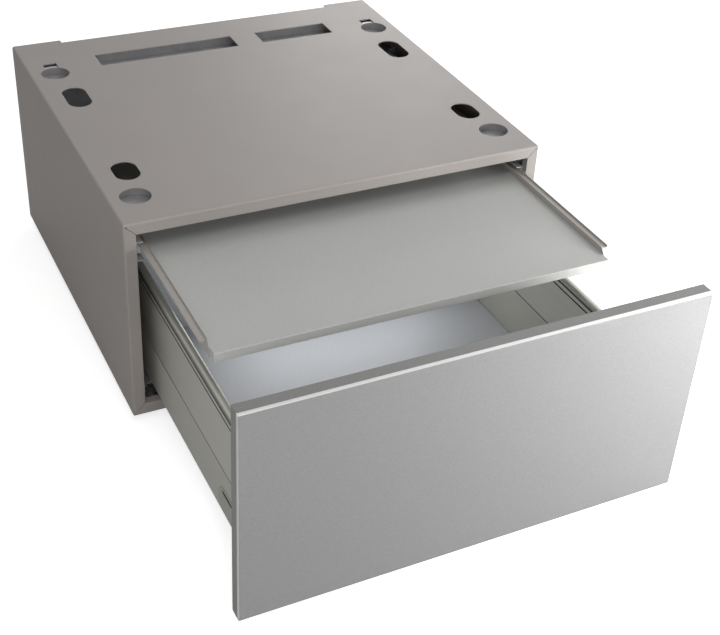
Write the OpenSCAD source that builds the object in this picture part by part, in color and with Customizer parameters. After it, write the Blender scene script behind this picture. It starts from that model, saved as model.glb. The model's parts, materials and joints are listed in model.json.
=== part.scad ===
// Pedestal for a washing machine: sheet steel cabinet, deep drawer on ball slides, pull-out shelf.
// Millimetres, +Z up. The origin lies on the floor, at the centre of the four levelling feet.
// The cabinet's front faces -Y. The drawer and the shelf are drawn where they stand half open.

/* [Cabinet] */
// Width of the cabinet and of the drawer front
body_w = 595; // [560:1:660]
// Depth of the cabinet without the drawer front
body_d = 562; // [550:1:640]
// Height from the cabinet's lower edge to the deck
body_h = 297; // [290:1:360]
// Sheet thickness of the cabinet
sheet = 1.5; // [1:0.1:2]
// Width of the front frame on all four sides
frame_w = 16.5; // [16:0.5:19]
// Outer radius of the cabinet's folded edges
bend_r = 3; // [2.2:0.2:5]
// Depth of the frame's folded-back inner edge
frame_return = 12; // [6:1:14]
// Gap between mitred ends of the front frame
mitre_gap = 0.5; // [0.3:0.1:1]
// Width of the cabinet's rear lips
rear_lip = 18; // [10:1:24]
// Depth of the notch in the deck's rear edge
rear_notch = 9; // [4:1:14]
// Distance from each side to the notch in the deck's rear edge
rear_notch_side = 74; // [60:1:100]
// Height of the flange folded down at the notch
rear_flange = 20; // [12:1:30]
// Thickness of the back panel and of the deck braces
panel_t = 1; // [0.8:0.1:1.5]

/* [Deck openings] */
// Radius of the holes for the machine's feet
foot_hole_r = 20.5; // [16:0.5:24]
// Distance from each side to those holes' centres
foot_hole_side = 36.5; // [34:0.5:48]
// Spacing of those holes along the deck
foot_hole_y = 384.5; // [360:0.5:400]
// Distance from the front edge to the front pair of holes
foot_hole_front = 63.5; // [56:0.5:75]
// Width of the notch that makes the rear holes keyholes
keyhole_w = 20; // [12:1:24]
// Reach of that notch behind the hole's centre
keyhole_reach = 35; // [28:1:40]
// Width of the hand holes
hand_hole_w = 34; // [24:1:36]
// Length of the rear hand holes
hand_hole_rear_l = 65; // [50:1:75]
// Length of the front hand holes
hand_hole_front_l = 50; // [40:1:60]
// Distance from each side to the hand holes' centres
hand_hole_side = 44.5; // [40:0.5:58]
// Distance from the front hole's centre to the front hand hole's centre
hand_front_step = 66.5; // [60:0.5:75]
// Distance from the rear hole's centre to the rear hand hole's centre
hand_rear_step = 87.5; // [80:0.5:100]
// Distance from each side to the rear slot
slot_side = 108; // [98:1:148]
// Width of the rear slot
slot_w = 40; // [24:1:44]
// Distance from the rear edge to the slot
slot_rear = 70; // [60:1:80]
// Width of the bridge that parts the slot in two
bridge_w = 41; // [20:1:60]
// Place of the bridge's centre to the right of the middle
bridge_x = 49.5; // [0:0.5:80]
// Depth of the cups below the holes for the machine's feet
cup_depth = 12; // [8:1:14]
// Rim of those cups outside the hole
cup_rim = 4; // [2:0.5:6]

/* [Base and levelling feet] */
// Gap between the floor and the cabinet's lower edge
foot_gap = 13; // [13:0.5:20]
// Distance from each side to the levelling feet
foot_side = 25.5; // [24:0.5:26]
// Distance from the front and the rear edge to the levelling feet
foot_end = 35; // [33:1:50]
// Radius of the feet's pads
foot_pad_r = 17; // [12:0.5:19]
// Height of the pads' round rim
foot_pad_h = 5; // [3:0.5:6]
// Height of the hexagon above the rim
foot_hex_h = 3.5; // [2:0.5:4]
// Width across the flats of the hexagon and of the lock nuts
foot_hex_af = 17; // [13:0.5:19]
// Radius of the feet's threaded studs
stud_r = 5; // [3:0.5:5.5]
// Height of the stud above its hexagon
stud_l = 26; // [20:0.5:30]
// Thickness of the threaded foot plates
foot_plate_t = 4; // [3:0.5:6]
// Side length of the threaded foot plates
foot_plate_w = 38; // [30:1:40]
// Width of the base rails' lower flanges
base_flange = 44; // [42:1:50]
// Height of the base rails' webs
base_web = 22; // [18:1:26]

/* [Drawer] */
// Distance that the drawer stands out of the cabinet
drawer_out = 363; // [0:1:475]
// Depth of the drawer box behind its front
drawer_l = 505; // [502:1:510]
// Gap between each drawer side and the cabinet's opening
drawer_gap = 20; // [19:0.5:31]
// Thickness of each drawer side
side_t = 12; // [11.6:0.1:13]
// Thickness of the sides' steel skins
skin_t = 0.8; // [0.6:0.1:1]
// Height of the sides' lower edge above the cabinet's lower edge
side_low = 22.5; // [20:0.5:24]
// Height of the drawer floor's top above the sides' lower edge
floor_up = 6; // [4:0.5:8]
// Height of the lower profile's outer wall
profile_out_h = 67.5; // [64:0.5:80]
// Further height of its inner wall
profile_step = 12; // [6:0.5:20]
// Height of the sides' upper grooves above the sides' lower edge
groove_h = 149.5; // [130:0.5:170]
// Distance between the two grooves
rail_band = 8; // [5:0.5:12]
// Depth of the grooves and of the score lines
groove = 0.8; // [0.5:0.1:1.2]
// Width of the grooves
groove_w = 1.5; // [0.8:0.1:2]
// Width of the score lines between the profile and the panel above it
score_w = 1.1; // [0.6:0.1:1.6]
// Wall of the top rail and of the side panels
rail_wall = 1.2; // [0.8:0.1:2]
// Distance of the drawer's back from the sides' rear ends
back_inset = 12; // [8:1:16]
// Flange around the drawer's back
back_flange = 10; // [6:1:12]

/* [Drawer front] */
// Distance from the deck down to the front's upper edge
front_low = 3; // [0:0.5:6]
// Thickness of the drawer front
front_t = 20; // [16:1:24]
// Distance that the front reaches below the cabinet's lower edge
front_drop = 4; // [0:0.5:6]
// Gap between the closed front and the cabinet
front_gap = 2; // [2:0.5:4]
// Thickness of the front's two shells
front_sheet = 1; // [0.8:0.1:1.2]
// Depth of the outer shell's rim
front_rim = 5; // [4:0.5:8]
// Radius of the outer shell's front edge
front_r = 1.6; // [1.2:0.1:3]
// Width of the stiffening channels inside the front
stiffener_w = 40; // [34:1:50]
// Distance from the front's upper and lower edges to the channels
stiffener_end = 16; // [10:1:30]
// Radius of the rubber bumpers
bumper_r = 5; // [3:0.5:6]

/* [Side caps] */
// Length of the oval caps
cap_l = 64; // [50:1:80]
// Height of the oval caps
cap_h = 36; // [30:1:40]
// Thickness of the cap's cover outside the drawer side
cap_t = 0.8; // [0.6:0.1:1.2]
// Distance from the drawer front to the cap's centre
cap_y = 107; // [90:1:140]
// Height of the cap's centre above the sides' lower edge
cap_z = 21; // [20:0.5:30]
// Length of the dark slot at the cap's upper edge
cap_slot_l = 32; // [20:1:40]
// Height of that slot
cap_slot_h = 3.4; // [2:0.2:5]

/* [Ball slides] */
// Length of the slides' members
slide_l = 500; // [480:1:501]
// Height of the fixed member
slide_h = 35; // [33:0.5:37]
// Height of the fixed member's lower edge above the sides' lower edge
slide_up = 4.5; // [3:0.5:6]
// Sheet thickness of the members
slide_sheet = 1; // [0.8:0.05:1.1]
// Radius of the balls
ball_r = 1.5; // [1.3:0.05:1.6]
// Distance between two balls
ball_pitch = 20; // [12:1:30]
// Number of balls in each row
ball_count = 7; // [3:1:9]
// Sheet thickness of the ball cages
cage_t = 0.4; // [0.3:0.05:0.5]
// Thickness of the drawer brackets' sheet
bracket_t = 1.5; // [1.2:0.1:1.8]

/* [Shelf] */
// Distance that the shelf stands out of the cabinet
shelf_out = 232; // [0:1:300]
// Gap between each side of the shelf board and the cabinet's opening
shelf_gap = 16; // [15.5:0.5:18]
// Depth of the shelf board
shelf_l = 480; // [440:1:490]
// Thickness of the shelf board
shelf_t = 12; // [10:0.5:14]
// Distance from the deck down to the board's top
shelf_low_by = 44; // [41:0.5:49]
// Sheet thickness of the board and of its rails
shelf_sheet = 1.2; // [0.8:0.1:1.5]
// Distance of the closed shelf's front edge behind the cabinet's front
shelf_back = 4; // [2:0.5:10]
// Height of the runners' web above the board's top
runner_rise = 8; // [7:0.5:9]
// Distance from the board's front edge to the runners' flange
runner_front = 20; // [14:1:30]
// Slant of the runners' front end
runner_slant = 8; // [4:1:12]
// Width of the runners' outer flange
runner_flange = 9; // [8:0.5:9.5]
// Height of the flange's curled tip
runner_tip = 2.4; // [1:0.2:2.6]
// Width of the runners' lower flange below the board
runner_foot = 15; // [12:1:20]
// Radius of the cabinet's rollers
front_roller_r = 10; // [8:0.5:10]
// Radius of the shelf's rollers
rear_roller_r = 12; // [11:0.2:12.2]
// Width of the rollers
roller_w = 8.4; // [7:0.2:8.6]
// Radius of the rollers' pins
roller_pin_r = 3; // [2:0.25:4]
// Distance from the cabinet's front to its rollers
front_roller_y = 26; // [24:1:40]

/* [Hidden] */
$fn = 48;
// Overrun of cuts past the surfaces that they open
over = 1;
// Clearance between pieces that slide past each other
slip = 0.3;
// Clearance of a shaft in its bore, on the radius
fit = 0.06;
// Clearance of a screw in its hole, on the radius
screw_fit = 0.15;
// Distance of sheet edges from the sheets that they stop at
edge_gap = 0.5;

half_w = body_w / 2;
front_y = -body_d / 2;
rear_y = body_d / 2;
base_z = foot_gap;
deck_z = foot_gap + body_h;
wall_x = half_w - sheet;
open_x = half_w - frame_w;
open_top = deck_z - frame_w;
open_low = base_z + frame_w;
under_deck = deck_z - sheet;

relief_r = 1;
relief_in = bend_r + relief_r + slip;

hole_x = half_w - foot_hole_side;
hole_front_y = front_y + foot_hole_front;
hole_rear_y = hole_front_y + foot_hole_y;
hand_x = half_w - hand_hole_side;
slot_x = half_w - slot_side;
slot_y = rear_y - slot_rear - slot_w;
notch_x = half_w - rear_notch_side;
cup_r = foot_hole_r + cup_rim;

foot_x = half_w - foot_side;
foot_y = body_d / 2 - foot_end;
foot_hex_z = foot_pad_h + foot_hex_h;
plate_z = base_z + sheet;

// Back panel, let in by the notch in the deck's rear edge
back_y = rear_y - rear_notch;
lip_gap = 6;
back_x = wall_x - rear_lip - lip_gap;

// Screws: radius of the shank, of the head, and height of the head
screw_r = 2;
screw_head_r = 4;
screw_head_h = 2;
screw_l = 6;

// Heights and places of the drawer
side_x = open_x - drawer_gap;
side_in = side_x - side_t;
side_z = base_z + side_low;
floor_z = side_z + floor_up;
profile_top = side_z + profile_out_h;
panel_low = profile_top;
profile_in_top = profile_top + profile_step;
groove_z = side_z + groove_h;
band_z = groove_z + rail_band;
rail_r = side_t / 2;
rail_foot = 0.5;
closed_front_y = front_y - front_gap;
box_y = closed_front_y - drawer_out;
box_rear = box_y + drawer_l;
face_y = box_y - front_t;
front_z = base_z - front_drop;
front_top = deck_z - front_low;
stiffener_x = side_x - side_t / 2;

// Ball slides: each member's place across the hollow of the drawer side, seen from the middle outward
hollow_in = side_in + skin_t;
hollow_out = side_x - skin_t;
arm_out = hollow_out - slip;
arm_in = arm_out - bracket_t;
slide_z = side_z + slide_up;
web_gap = cage_t + 2 * slip;
ball_gap = 2 * (ball_r + slip);
middle_out = arm_in - slide_sheet - web_gap;
middle_in = middle_out - slide_sheet;
inner_web = hollow_in + slide_sheet;
middle_inset = slide_sheet + ball_gap;
inner_inset = 2 * middle_inset;
slide_front = 6;
slide_y = front_y + slide_front;
slide_out = drawer_out;
cage_l = ball_pitch * (ball_count - 1);
cage_end = 8;

// Brackets of the slides
bracket_x = open_x - edge_gap;
bracket_in = bracket_x - bracket_t;
bracket_up = 14;
bracket_low = base_z + bracket_up;
bracket_nose = 36;
bracket_step = 12;
bracket_rear = slide_y + slide_l;
stay_w = 14;
stay_front = 22;
stay_rear = 60;

// Shelf and its rails
shelf_x = open_x - shelf_gap;
shelf_top = deck_z - shelf_low_by;
shelf_low = shelf_top - shelf_t;
shelf_y = front_y + shelf_back - shelf_out;
shelf_rear = shelf_y + shelf_l;
runner_out = shelf_x + shelf_sheet;
runner_top = shelf_top + runner_rise;
flange_drop = 3.2;
flange_z = runner_top - flange_drop;
flange_out = runner_out + runner_flange;
runner_low = shelf_low - shelf_sheet;
front_roller_z = flange_z - slip - front_roller_r;
rail_drop = 0.3;
rail_low = front_roller_z - front_roller_r - rail_drop;
rear_roller_z = rail_low + rear_roller_r + slip;
rail_top_gap = 0.8;
rail_high = max(flange_z + shelf_sheet + runner_tip, rear_roller_z + rear_roller_r) + rail_top_gap;
rail_out = bracket_x;
rail_in = rail_out - shelf_sheet;
rail_front = 8;
rail_y = front_y + rail_front;
rail_l = 486;
rail_flange = 11;
rail_bead_r = 1.2;
roller_y = front_y + front_roller_y;
roller_end = 14;
pin_head_r = 4.4;
pin_head_t = 0.8;
roller_gap = 0.5;

rear_roller_x = runner_out + roller_gap;
rear_pin_end = rear_roller_x + roller_w + roller_gap + pin_head_t;
front_roller_x = rail_in - roller_gap - roller_w;
front_pin_end = front_roller_x - roller_gap - pin_head_t;

// Hat-shaped braces under the deck
brace_h = 16;
brace_lip = 12;
brace_w = 50;
brace_x = hole_x - cup_r - brace_lip;

// Places of the screws
back_screw_shares = [-0.8, 0, 0.8];
back_screw_places = [for (k = back_screw_shares) k * notch_x];
front_screw_up = [49, 59];
front_screw_z = [for (up = front_screw_up) side_z + up];
bracket_reach = 60;
back_screw_up = [62, 100, 136];
drawer_back_z = [for (up = back_screw_up) side_z + up];
shelf_screw_shares = [0.15, 0.5, 0.85];
shelf_screw_y = [for (k = shelf_screw_shares) shelf_y + k * shelf_l];
shelf_screw_x = shelf_x - runner_foot / 2;

steel_grey = "#8f8b88";
inner_grey = "#a3a6a8";
drawer_grey = "#8f8f88";
silver = "#bcbcbc";

// A box between two opposite corners
module span(a, b) {
    translate(a) cube(b - a);
}

// The same piece on the left
module on_left() {
    mirror([1, 0, 0]) children();
}

// Copies at the four places of a rectangle centred on the origin
module at_corners(x, y) {
    for (sx = [-1, 1], sy = [-1, 1]) translate([sx * x, sy * y, 0]) children();
}

// A rod along Y between two places
module rod_y(x, z, y0, y1, r) {
    translate([x, y1, z]) rotate([90, 0, 0]) cylinder(r = r, h = y1 - y0);
}

// A rod along X between two places
module rod_x(x0, x1, y, z, r) {
    translate([x0, y, z]) rotate([0, 90, 0]) cylinder(r = r, h = x1 - x0);
}

// An obround that stands on a floor: length along Y, width along X
module obround(x, y, l, w, z0, z1) {
    span([x - w / 2, y - (l - w) / 2, z0], [x + w / 2, y + (l - w) / 2, z1]);
    for (s = [-1, 1]) translate([x, y + s * (l - w) / 2, z0]) cylinder(r = w / 2, h = z1 - z0);
}

// A hexagon prism by its width across the flats
module hexagon(af, h) {
    cylinder(r = af / sqrt(3), h = h, $fn = 6);
}

// A block with rounded upper, front and vertical front edges, drawn in by an inset
module folded_block(inset) {
    x = half_w - inset;
    r = bend_r - inset;
    y0 = front_y + inset;
    y1 = rear_y + inset;
    z0 = base_z - inset;
    top = deck_z - inset;
    span([-x + r, y0 + r, z0], [x - r, y1, top]);
    span([-x, y0 + r, z0], [x, y1, top - r]);
    span([-x + r, y0, z0], [x - r, y1, top - r]);
    rod_x(-x + r, x - r, y0 + r, top - r, r);
    for (s = [-1, 1]) {
        rod_y(s * (x - r), top - r, y0 + r, y1, r);
        translate([s * (x - r), y0 + r, z0]) cylinder(r = r, h = top - r - z0);
        translate([s * (x - r), y0 + r, top - r]) sphere(r = r);
    }
}

// Mitre between the deck's and the side's part of the frame: a thin diagonal cut to a relief hole
module mitre_cut() {
    reach = frame_w - relief_in;
    translate([open_x, front_y - over, open_top]) rotate([0, 45, 0])
        translate([-mitre_gap / 2, 0, -over]) cube([mitre_gap, frame_return + 2 * over, reach * sqrt(2) + over]);
    rod_y(open_x + reach, open_top + reach, front_y - over, front_y + sheet + over, relief_r);
}

// Folded cabinet sheet: deck, sides, front frame, rear lips
module cabinet_wrapper() {
    color(steel_grey) difference() {
        union() {
            difference() {
                folded_block(0);
                folded_block(sheet);
                span([-open_x, front_y - over, base_z - over], [open_x, front_y + bend_r + over, open_top]);
                span([-notch_x, back_y, under_deck - over], [notch_x, rear_y + over, deck_z + over]);
            }
            // Folded-back inner edges of the frame
            for (s = [-1, 1]) scale_x(s)
                span([open_x, front_y + sheet, open_low], [open_x + sheet, front_y + frame_return, open_top + sheet]);
            span([-open_x, front_y + sheet, open_top], [open_x, front_y + frame_return, open_top + sheet]);
            // Rear lips and the flange at the notch
            for (s = [-1, 1]) scale_x(s)
                span([wall_x - rear_lip, rear_y - sheet, base_z], [wall_x + sheet / 2, rear_y, under_deck]);
            span([-notch_x, back_y - sheet, deck_z - rear_flange], [notch_x, back_y, deck_z - sheet / 2]);
        }
        deck_cuts();
        for (s = [-1, 1]) scale_x(s) {
            mitre_cut();
            // The frame's bottom member closes the corner below this cut
            corner_cut();
        }
        for (x = back_screw_places) rod_y(x, deck_z - rear_flange / 2, back_y - sheet - over, back_y + over, screw_r + screw_fit);
    }
}

module scale_x(s) {
    if (s < 0) mirror([1, 0, 0]) children();
    else children();
}

// Space of the bottom frame member, taken off the sheet on the diagonal
module corner_cut() {
    translate([0, front_y + bend_r + over, 0]) rotate([90, 0, 0]) linear_extrude(bend_r + 2 * over)
        polygon([
            [open_x - over, base_z - over],
            [half_w + over, base_z - over],
            [open_x + mitre_gap, open_low + mitre_gap],
            [open_x - over, open_low + mitre_gap]
        ]);
}

// Everything that is cut out of the deck
module deck_cuts() {
    low = under_deck - over;
    high = deck_z + over;
    for (s = [-1, 1]) {
        for (y = [hole_front_y, hole_rear_y])
            translate([s * hole_x, y, low]) cylinder(r = foot_hole_r, h = high - low);
        span([s * hole_x - keyhole_w / 2, hole_rear_y, low],
            [s * hole_x + keyhole_w / 2, hole_rear_y + keyhole_reach, high]);
        obround(s * hand_x, hole_front_y + hand_front_step, hand_hole_front_l, hand_hole_w, low, high);
        obround(s * hand_x, hole_rear_y - hand_rear_step, hand_hole_rear_l, hand_hole_w, low, high);
    }
    span([-slot_x, slot_y, low], [bridge_x - bridge_w / 2, slot_y + slot_w, high]);
    span([bridge_x + bridge_w / 2, slot_y, low], [slot_x, slot_y + slot_w, high]);
}

// Bottom member of the front frame, mitred into the stiles
module bottom_front_rail() {
    color(steel_grey) {
        translate([0, front_y + sheet, 0]) rotate([90, 0, 0]) linear_extrude(sheet)
            polygon([
                [-half_w + mitre_gap, base_z],
                [half_w - mitre_gap, base_z],
                [open_x, open_low],
                [-open_x, open_low]
            ]);
        span([-open_x, front_y + sheet, open_low - sheet], [open_x, front_y + frame_return, open_low]);
        span([-wall_x + base_flange + edge_gap, front_y + sheet, base_z],
            [wall_x - base_flange - edge_gap, front_y + base_web, base_z + sheet]);
    }
}

// Channel along one side of the base, with holes for the levelling feet's studs
module bottom_side_rail() {
    y0 = front_y + bend_r + edge_gap;
    y1 = back_y - edge_gap;
    color(steel_grey) difference() {
        union() {
            span([wall_x - base_flange, y0, base_z], [wall_x, y1, plate_z]);
            span([wall_x - sheet, y0, base_z], [wall_x, y1, base_z + base_web]);
        }
        for (s = [-1, 1]) translate([foot_x, s * foot_y, base_z - over])
            cylinder(r = stud_r + over, h = sheet + 2 * over);
        // The frame's side return and bottom member pass here
        span([open_x - edge_gap, y0 - over, open_low - sheet - edge_gap],
            [open_x + sheet + edge_gap, front_y + frame_return + edge_gap, base_z + base_web + over]);
    }
}

module bottom_side_rail_left() {
    on_left() bottom_side_rail();
}

module bottom_side_rail_right() {
    bottom_side_rail();
}

// Angle across the rear of the base
module bottom_rear_rail() {
    x = wall_x - base_flange - edge_gap;
    color(steel_grey) difference() {
        union() {
            span([-x, back_y - base_flange, base_z], [x, back_y, plate_z]);
            span([-x, back_y - sheet, base_z], [x, back_y, base_z + base_web]);
        }
        for (px = back_screw_places)
            rod_y(px, base_z + base_web / 2, back_y - sheet - over, back_y + over, screw_r + screw_fit);
    }
}

// Dished back panel: its middle lies in the notch's plane and its borders behind the rear lips
module back_panel() {
    top = under_deck - edge_gap;
    lip_y = rear_y - sheet - panel_t;
    color(inner_grey) difference() {
        union() {
            span([-back_x, back_y, base_z], [back_x, back_y + panel_t, top]);
            for (s = [-1, 1]) scale_x(s) {
                span([back_x - panel_t, back_y, base_z], [back_x, lip_y + panel_t, top]);
                span([back_x - panel_t, lip_y, base_z], [wall_x - edge_gap, lip_y + panel_t, top]);
            }
        }
        for (px = back_screw_places, z = [base_z + base_web / 2, deck_z - rear_flange / 2])
            rod_y(px, z, back_y - over, back_y + panel_t + over, screw_r + screw_fit);
    }
}

module back_panel_screws() {
    y = back_y + panel_t;
    color(silver) for (px = back_screw_places, z = [base_z + base_web / 2, deck_z - rear_flange / 2]) {
        rod_y(px, z, y - screw_l, y, screw_r);
        rod_y(px, z, y, y + screw_head_h, screw_head_r);
    }
}

// Hat-shaped channel under the deck
module brace(y0, y1) {
    low = under_deck - brace_h;
    span([-brace_x, y0, low], [brace_x, y1, low + panel_t]);
    for (y = [y0, y1 - panel_t]) span([-brace_x, y, low], [brace_x, y + panel_t, under_deck]);
    span([-brace_x, y0 - brace_lip, under_deck - panel_t], [brace_x, y0, under_deck]);
    span([-brace_x, y1, under_deck - panel_t], [brace_x, y1 + brace_lip, under_deck]);
}

module deck_brace_front() {
    color(inner_grey) brace(hole_front_y - brace_w / 2, hole_front_y + brace_w / 2);
}

// This one lies below the slot, and its floor shows through it
module deck_brace_rear() {
    y = slot_y + slot_w / 2;
    color(inner_grey) brace(y - brace_w / 2, y + brace_w / 2);
}

// Cups below the four round holes
module washer_foot_cups() {
    low = under_deck - cup_depth;
    color(inner_grey) for (s = [-1, 1], y = [hole_front_y, hole_rear_y]) translate([s * hole_x, y, 0])
        difference() {
            union() {
                translate([0, 0, low]) cylinder(r = cup_r, h = cup_depth);
                translate([0, 0, under_deck - sheet]) cylinder(r = cup_r + cup_rim, h = sheet);
            }
            translate([0, 0, low + sheet]) cylinder(r = cup_r - sheet, h = cup_depth);
        }
}

// Threaded plates on the base rails
module foot_plates() {
    color(silver) at_corners(foot_x, foot_y) difference() {
        span([-foot_plate_w / 2, -foot_plate_w / 2, plate_z],
            [wall_x - sheet - foot_x - edge_gap, foot_plate_w / 2, plate_z + foot_plate_t]);
        translate([0, 0, plate_z - over]) cylinder(r = stud_r + fit, h = foot_plate_t + 2 * over);
    }
}

module foot_lock_nuts() {
    low = foot_hex_z + slip;
    color(silver) at_corners(foot_x, foot_y) difference() {
        translate([0, 0, low]) hexagon(foot_hex_af, base_z - low);
        translate([0, 0, low - over]) cylinder(r = stud_r + fit, h = base_z - low + 2 * over);
    }
}

// Levelling foot: round pad, hexagon, stud
module levelling_foot(sx, sy) {
    color("#4a4a4a") translate([sx * foot_x, sy * foot_y, 0]) {
        cylinder(r = foot_pad_r, h = foot_pad_h);
        translate([0, 0, foot_pad_h]) hexagon(foot_hex_af, foot_hex_h);
        translate([0, 0, foot_hex_z - sheet]) cylinder(r = stud_r, h = stud_l + sheet);
    }
}

module levelling_foot_front_left() {
    levelling_foot(-1, -1);
}

module levelling_foot_front_right() {
    levelling_foot(1, -1);
}

module levelling_foot_rear_left() {
    levelling_foot(-1, 1);
}

module levelling_foot_rear_right() {
    levelling_foot(1, 1);
}

// A stay from a rail's web to the cabinet's side wall, with a foot at each end
module stay(y, z0, z1, x0, t) {
    span([x0, y, z0], [wall_x, y + t, z1]);
    span([x0, y, z0], [x0 + t, y + stay_w, z1]);
    span([wall_x - t, y, z0], [wall_x, y + stay_w, z1]);
}

// Bracket of one drawer slide: its web stands beside the drawer, and its arm reaches up into the
// drawer side's hollow from below
module slide_bracket() {
    arm_y = slide_y + bracket_nose;
    top = slide_z + slide_h;
    color("#9a9c98") {
        difference() {
            span([bracket_in, slide_y, bracket_low], [bracket_x, bracket_rear, top]);
            span([bracket_in - over, slide_y - over, bracket_low - over],
                [bracket_x + over, arm_y, bracket_low + bracket_step]);
        }
        span([arm_in, arm_y, bracket_low], [bracket_x, bracket_rear, bracket_low + bracket_t]);
        span([arm_in, arm_y, bracket_low], [arm_out, bracket_rear, top]);
        span([arm_in, slide_y, slide_z], [arm_out, arm_y, top]);
        for (y = [slide_y + stay_front, bracket_rear - stay_rear])
            stay(y, bracket_low + bracket_step, top, bracket_x, bracket_t);
    }
}

module slide_bracket_left() {
    on_left() slide_bracket();
}

module slide_bracket_right() {
    slide_bracket();
}

// A C-shaped slide member: web between x0 and x1, lips up to the place named tip
module c_member(x0, x1, tip, z0, z1, y0) {
    lip_x0 = min(x0, tip);
    lip_x1 = max(x1, tip);
    span([x0, y0, z0], [x1, y0 + slide_l, z1]);
    span([lip_x0, y0, z0], [lip_x1, y0 + slide_l, z0 + slide_sheet]);
    span([lip_x0, y0, z1 - slide_sheet], [lip_x1, y0 + slide_l, z1]);
}

module cabinet_member() {
    color("silver")
        c_member(arm_in - slide_sheet, arm_in, inner_web + slip, slide_z, slide_z + slide_h, slide_y);
}

module cabinet_member_left() {
    on_left() cabinet_member();
}

module cabinet_member_right() {
    cabinet_member();
}

module middle_member() {
    color("silver")
        c_member(middle_in, middle_out, inner_web + slip, slide_z + middle_inset,
            slide_z + slide_h - middle_inset, slide_y - slide_out / 2);
}

module middle_member_left() {
    on_left() middle_member();
}

module middle_member_right() {
    middle_member();
}

module drawer_member() {
    color("silver")
        c_member(hollow_in, inner_web, middle_in - web_gap, slide_z + inner_inset,
            slide_z + slide_h - inner_inset, slide_y - slide_out);
}

module drawer_member_left() {
    on_left() drawer_member();
}

module drawer_member_right() {
    drawer_member();
}

// Ball cage: a strip beside a member's web, with a lip above and below that holds a row of balls
module ball_cage(x, inset, y_mid) {
    z0 = slide_z + inset + slide_sheet + ball_r + slip;
    z1 = slide_z + slide_h - inset - slide_sheet - ball_r - slip;
    y0 = y_mid - cage_l / 2;
    ball_x = (inner_web + slip + x) / 2;
    span([x - cage_t, y0 - cage_end, z0 - cage_t / 2], [x, y0 + cage_l + cage_end, z1 + cage_t / 2]);
    for (z = [z0, z1]) {
        span([ball_x - ball_r, y0 - cage_end, z - cage_t / 2], [x, y0 + cage_l + cage_end, z + cage_t / 2]);
        for (k = [0:ball_count - 1]) translate([ball_x, y0 + k * ball_pitch, z]) sphere(r = ball_r);
    }
}

module outer_cage() {
    color("gold") ball_cage(middle_out + web_gap - slip, 0, slide_y + slide_l / 2 - slide_out / 4);
}

module outer_cage_left() {
    on_left() outer_cage();
}

module outer_cage_right() {
    outer_cage();
}

module inner_cage() {
    color("gold")
        ball_cage(middle_in - slip, middle_inset, slide_y + slide_l / 2 - 3 * slide_out / 4);
}

module inner_cage_left() {
    on_left() inner_cage();
}

module inner_cage_right() {
    inner_cage();
}

// Outer shell of the drawer front
module front_block(inset) {
    x = half_w - inset;
    r = front_r - inset / 2;
    h = front_rim + over;
    z0 = front_z + inset;
    z1 = front_top - inset;
    y0 = face_y + inset;
    span([-x, y0 + r, z0], [x, y0 + r + h, z1]);
    span([-x + r, y0, z0 + r], [x - r, y0 + r + over, z1 - r]);
    for (s = [-1, 1]) translate([s * (x - r), y0 + r, z0 + r]) cylinder(r = r, h = z1 - z0 - 2 * r);
    for (z = [z0 + r, z1 - r]) rod_x(-x + r, x - r, y0 + r, z, r);
    for (s = [-1, 1], z = [z0 + r, z1 - r]) translate([s * (x - r), y0 + r, z]) sphere(r = r);
}

module front_skin() {
    color(silver) difference() {
        front_block(0);
        front_block(front_sheet);
        span([-half_w - over, face_y + front_rim, front_z - over], [half_w + over, box_y, front_top + over]);
    }
}

// Rear shell of the drawer front, its edge let into the outer shell's rim
module front_pan() {
    seam_y = face_y + front_rim;
    step = front_sheet + slip / 2;
    color("#7f8080") difference() {
        union() {
            span([-half_w, seam_y, front_z], [half_w, box_y, front_top]);
            span([-half_w + step, face_y + front_sheet + front_r, front_z + step],
                [half_w - step, seam_y + over, front_top - step]);
        }
        span([-half_w + step + front_sheet, face_y - over, front_z + step + front_sheet],
            [half_w - step - front_sheet, box_y - front_sheet, front_top - step - front_sheet]);
        front_screw_holes(screw_r + screw_fit);
    }
}

// Holes or shanks of the screws that hold the front to the two brackets
module front_screw_holes(r) {
    for (s = [-1, 1], z = front_screw_z)
        rod_y(s * stiffener_x, z, box_y - front_sheet - sheet - over, box_y + bracket_t + over, r);
}

// Two channels that join the front's shells and take the brackets' screws
module front_stiffeners() {
    y0 = face_y + front_sheet + slip;
    y1 = box_y - front_sheet;
    z0 = front_z + stiffener_end;
    z1 = front_top - stiffener_end;
    color(inner_grey) difference() {
        for (s = [-1, 1]) scale_x(s) {
            x0 = stiffener_x - stiffener_w / 2;
            x1 = stiffener_x + stiffener_w / 2;
            span([x0, y1 - sheet, z0], [x1, y1, z1]);
            for (x = [x0, x1 - sheet]) span([x, y0, z0], [x + sheet, y1, z1]);
        }
        front_screw_holes(screw_r + screw_fit);
    }
}

// Rubber bumpers on the rear of the front, which meet the cabinet's frame
module front_bumpers() {
    x = half_w - frame_w / 2;
    color("#303030") for (s = [-1, 1], z = [open_low + frame_w, open_top - frame_w])
        rod_y(s * x, z, box_y, box_y + front_gap - slip, bumper_r);
}

// Steel floor of the drawer with its edges folded down
module drawer_floor() {
    y0 = box_y + edge_gap;
    color("#a0a4a8") {
        span([-side_in, y0, floor_z - skin_t], [side_in, box_rear, floor_z]);
        for (s = [-1, 1]) scale_x(s)
            span([side_in - skin_t, y0, side_z], [side_in, box_rear, floor_z]);
        span([-side_in, y0, side_z], [side_in, y0 + skin_t, floor_z]);
        span([-side_in, box_rear - skin_t, side_z], [side_in, box_rear, floor_z]);
    }
}

// Holes or shanks of the screws that hold the drawer's back
module back_screw_holes(r, x0, x1) {
    y = box_rear - back_inset + back_flange / 2;
    for (s = [-1, 1], z = drawer_back_z) scale_x(s) rod_x(x0, x1, y, z, r);
}

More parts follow.
